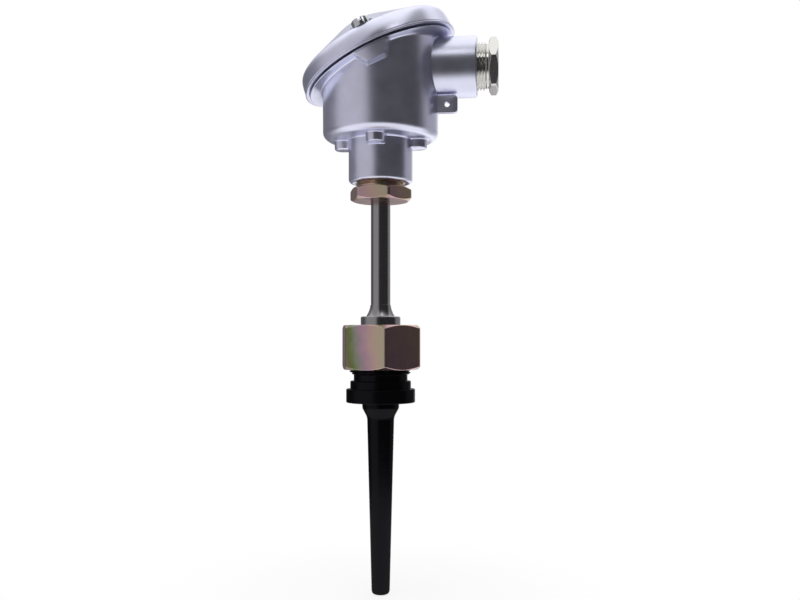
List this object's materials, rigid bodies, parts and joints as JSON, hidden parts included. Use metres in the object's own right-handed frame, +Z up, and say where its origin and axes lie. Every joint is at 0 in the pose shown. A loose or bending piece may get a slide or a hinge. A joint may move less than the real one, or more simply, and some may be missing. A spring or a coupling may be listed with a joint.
{
  "type": "resistance thermometer",
  "caption": "Resistance thermometer with a tilted-lid connection head on a neck tube, held by a union nut on a tapered thermowell",
  "frame": {"origin": "centre of the underside of the thermowell's flange, where the well seats in the vessel wall", "axes": "+Z up along the stem and neck towards the head, +X along the cable gland, +Y to the back lid screw"},
  "size_m": [0.0952, 0.0788, 0.2809],
  "materials": {
    "well_steel": "black oxide, satin",
    "copper": "soft copper, dull",
    "stainless": "turned stainless steel",
    "chromated": "yellow chromated steel, satin",
    "cast_alloy": "cast alloy, smooth satin",
    "nickel": "nickel plated, bright",
    "zinc": "zinc plated, bright",
    "rubber": "black rubber, satin",
    "spring_steel": "drawn spring wire",
    "ceramic": "white steatite, half gloss",
    "terminal_brass": "milled brass",
    "dark_steel": "blackened spring steel",
    "lead": "bare nickel wire"
  },
  "bodies": {
    "thermowell": {"thermowell": "well_steel", "well_gasket": "copper"},
    "thermometer": {"union_collar": "stainless", "neck_tube": "stainless", "hex_adapter": "chromated", "head_body": "cast_alloy", "gland_inner_ring": "zinc", "gland_seal": "rubber", "ground_screw": "nickel", "ground_washer": "zinc", "insert_screws": "zinc", "spring_left": "spring_steel", "spring_right": "spring_steel"},
    "union_nut": {"union_nut": "chromated"},
    "lid": {"lid": "cast_alloy", "lid_seal": "rubber"},
    "lid_screw_front": {"lid_screw_front": "zinc", "screw_keeper_front": "dark_steel"},
    "lid_screw_back": {"lid_screw_back": "zinc", "screw_keeper_back": "dark_steel"},
    "insert": {"insert_plate": "stainless", "insert_bush": "stainless", "sheath": "stainless", "sensor_element": "ceramic", "wire_insulator": "ceramic", "lead_wires": "lead", "terminal_block": "ceramic", "terminal_clamps": "terminal_brass", "terminal_screws": "zinc"},
    "gland_slip_ring": {"gland_slip_ring": "zinc"},
    "pressure_screw": {"pressure_screw": "nickel"}
  },
  "joints": [
    {"name": "lift_out", "type": "slide", "parent": "thermowell", "child": "thermometer", "axis": [0, 0, 1], "range_m": [0, 0.13]},
    {"name": "union_nut_turn", "type": "hinge", "parent": "thermometer", "child": "union_nut", "pos_m": [0, 0, 0.0266], "axis": [0, 0, 1], "continuous": true},
    {"name": "lid_lift", "type": "slide", "parent": "thermometer", "child": "lid", "axis": [-0.4067, 0, 0.9135], "range_m": [0, 0.04]},
    {"name": "lid_screw_front_turn", "type": "hinge", "parent": "lid", "child": "lid_screw_front", "pos_m": [0, -0.0315, 0.1633], "axis": [-0.4067, 0, 0.9135], "continuous": true},
    {"name": "lid_screw_back_turn", "type": "hinge", "parent": "lid", "child": "lid_screw_back", "pos_m": [0, 0.0315, 0.1633], "axis": [-0.4067, 0, 0.9135], "continuous": true},
    {"name": "insert_travel", "type": "slide", "parent": "thermometer", "child": "insert", "axis": [0, 0, 1], "range_m": [0, 0.005], "stiffness_N_per_m": 4000, "springref_m": -0.003, "deforming": ["spring_left", "spring_right"]},
    {"name": "gland_slip", "type": "slide", "parent": "thermometer", "child": "gland_slip_ring", "axis": [1, 0, 0], "range_m": [0, 0.004]},
    {"name": "gland_screw_turn", "type": "hinge", "parent": "gland_slip_ring", "child": "pressure_screw", "pos_m": [0.05, 0, 0.1616], "axis": [1, 0, 0], "range_deg": [0, 1020]}
  ],
  "couplings": [
    {"joint": "gland_slip", "follows": "gland_screw_turn", "m_per_rad": 0.00022457}
  ]
}
